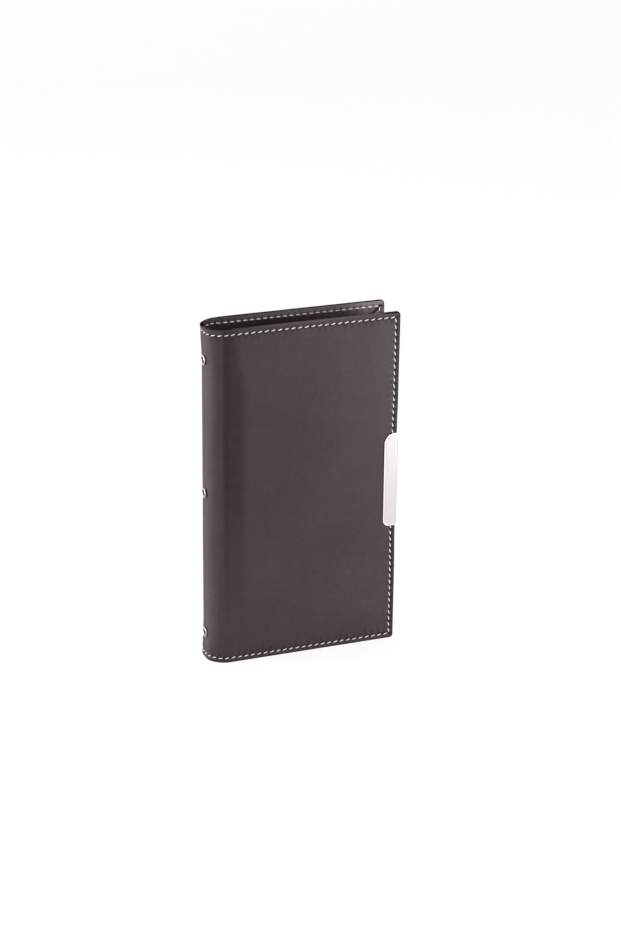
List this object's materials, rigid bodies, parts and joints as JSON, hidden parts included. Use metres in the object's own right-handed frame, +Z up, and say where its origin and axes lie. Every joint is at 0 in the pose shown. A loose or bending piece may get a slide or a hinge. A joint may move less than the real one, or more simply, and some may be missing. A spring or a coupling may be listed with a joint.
{
  "type": "business card book",
  "caption": "Slim ring-bound card book: two stitched leather covers hinged to a rounded, riveted spine, a metal plate on the fore edge and clear pocket leaves on rings",
  "frame": {"origin": "middle of the closed book's box, on the plane of its bottom edges", "axes": "+Z up the book, +X from the spine to the fore edge, the front cover faces -Y"},
  "size_m": [0.1132, 0.0272, 0.2],
  "materials": {
    "leather": "smooth fine grain, satin",
    "lining": "matt lining leather",
    "board": "grey cover board",
    "nickel": "satin nickel plate",
    "steel": "bright plated spring steel",
    "clear_film": "clear glossy film"
  },
  "bodies": {
    "spine": {"spine_leather": "leather", "spine_lining": "lining", "mechanism_plate": "steel", "rivet_top": "nickel", "rivet_middle": "nickel", "rivet_bottom": "nickel", "rivet_washer_top": "nickel", "rivet_washer_middle": "nickel", "rivet_washer_bottom": "nickel"},
    "front_cover": {"front_leather": "leather", "front_board": "board", "front_lining": "lining", "edge_plate": "nickel"},
    "back_cover": {"back_leather": "leather", "back_board": "board", "back_lining": "lining", "back_pocket": "leather"},
    "front_rings": {"front_blade": "steel", "ring_1_front": "steel", "ring_2_front": "steel", "ring_3_front": "steel", "ring_4_front": "steel"},
    "back_rings": {"back_blade": "steel", "ring_1_back": "steel", "ring_2_back": "steel", "ring_3_back": "steel", "ring_4_back": "steel"},
    "leaf_01": {"leaf_01": "clear_film"},
    "leaf_02": {"leaf_02": "clear_film"},
    "leaf_03": {"leaf_03": "clear_film"},
    "leaf_04": {"leaf_04": "clear_film"},
    "leaf_05": {"leaf_05": "clear_film"},
    "leaf_06": {"leaf_06": "clear_film"},
    "leaf_07": {"leaf_07": "clear_film"},
    "leaf_08": {"leaf_08": "clear_film"},
    "leaf_09": {"leaf_09": "clear_film"},
    "leaf_10": {"leaf_10": "clear_film"}
  },
  "joints": [
    {"name": "front_cover_hinge", "type": "hinge", "parent": "spine", "child": "front_cover", "pos_m": [-0.05255, -0.0098, 0.1], "axis": [0, 0, 1], "range_deg": [-90, 0]},
    {"name": "back_cover_hinge", "type": "hinge", "parent": "spine", "child": "back_cover", "pos_m": [-0.05255, 0.01035, 0.1], "axis": [0, 0, 1], "range_deg": [0, 90]},
    {"name": "front_blade_pivot", "type": "hinge", "parent": "spine", "child": "front_rings", "pos_m": [-0.05298, -0.00583, 0.1], "axis": [0, 0, 1], "range_deg": [-12, 0]},
    {"name": "back_blade_pivot", "type": "hinge", "parent": "spine", "child": "back_rings", "pos_m": [-0.05298, 0.00637, 0.1], "axis": [0, 0, 1], "range_deg": [0, 12]},
    {"name": "leaf_01_turn", "type": "hinge", "parent": "spine", "child": "leaf_01", "pos_m": [-0.04643, -0.00072, 0.1], "axis": [0, 0, 1], "range_deg": [-90, 0]},
    {"name": "leaf_02_turn", "type": "hinge", "parent": "spine", "child": "leaf_02", "pos_m": [-0.04643, -0.00072, 0.1], "axis": [0, 0, 1], "range_deg": [-85.5, 0]},
    {"name": "leaf_03_turn", "type": "hinge", "parent": "spine", "child": "leaf_03", "pos_m": [-0.04643, -0.00072, 0.1], "axis": [0, 0, 1], "range_deg": [-81, 0]},
    {"name": "leaf_04_turn", "type": "hinge", "parent": "spine", "child": "leaf_04", "pos_m": [-0.04643, -0.00072, 0.1], "axis": [0, 0, 1], "range_deg": [-76.5, 0]},
    {"name": "leaf_05_turn", "type": "hinge", "parent": "spine", "child": "leaf_05", "pos_m": [-0.04643, -0.00072, 0.1], "axis": [0, 0, 1], "range_deg": [-72, 0]},
    {"name": "leaf_06_turn", "type": "hinge", "parent": "spine", "child": "leaf_06", "pos_m": [-0.04643, 0.00128, 0.1], "axis": [0, 0, 1], "range_deg": [0, 72]},
    {"name": "leaf_07_turn", "type": "hinge", "parent": "spine", "child": "leaf_07", "pos_m": [-0.04643, 0.00128, 0.1], "axis": [0, 0, 1], "range_deg": [0, 76.5]},
    {"name": "leaf_08_turn", "type": "hinge", "parent": "spine", "child": "leaf_08", "pos_m": [-0.04643, 0.00128, 0.1], "axis": [0, 0, 1], "range_deg": [0, 81]},
    {"name": "leaf_09_turn", "type": "hinge", "parent": "spine", "child": "leaf_09", "pos_m": [-0.04643, 0.00128, 0.1], "axis": [0, 0, 1], "range_deg": [0, 85.5]},
    {"name": "leaf_10_turn", "type": "hinge", "parent": "spine", "child": "leaf_10", "pos_m": [-0.04643, 0.00128, 0.1], "axis": [0, 0, 1], "range_deg": [0, 90]}
  ],
  "couplings": [
    {"joint": "back_blade_pivot", "follows": "front_blade_pivot", "ratio": -1},
    {"joint": "leaf_01_turn", "follows": "front_cover_hinge", "ratio": 1},
    {"joint": "leaf_02_turn", "follows": "front_cover_hinge", "ratio": 0.95},
    {"joint": "leaf_03_turn", "follows": "front_cover_hinge", "ratio": 0.9},
    {"joint": "leaf_04_turn", "follows": "front_cover_hinge", "ratio": 0.85},
    {"joint": "leaf_05_turn", "follows": "front_cover_hinge", "ratio": 0.8},
    {"joint": "leaf_06_turn", "follows": "back_cover_hinge", "ratio": 0.8},
    {"joint": "leaf_07_turn", "follows": "back_cover_hinge", "ratio": 0.85},
    {"joint": "leaf_08_turn", "follows": "back_cover_hinge", "ratio": 0.9},
    {"joint": "leaf_09_turn", "follows": "back_cover_hinge", "ratio": 0.95},
    {"joint": "leaf_10_turn", "follows": "back_cover_hinge", "ratio": 1}
  ]
}
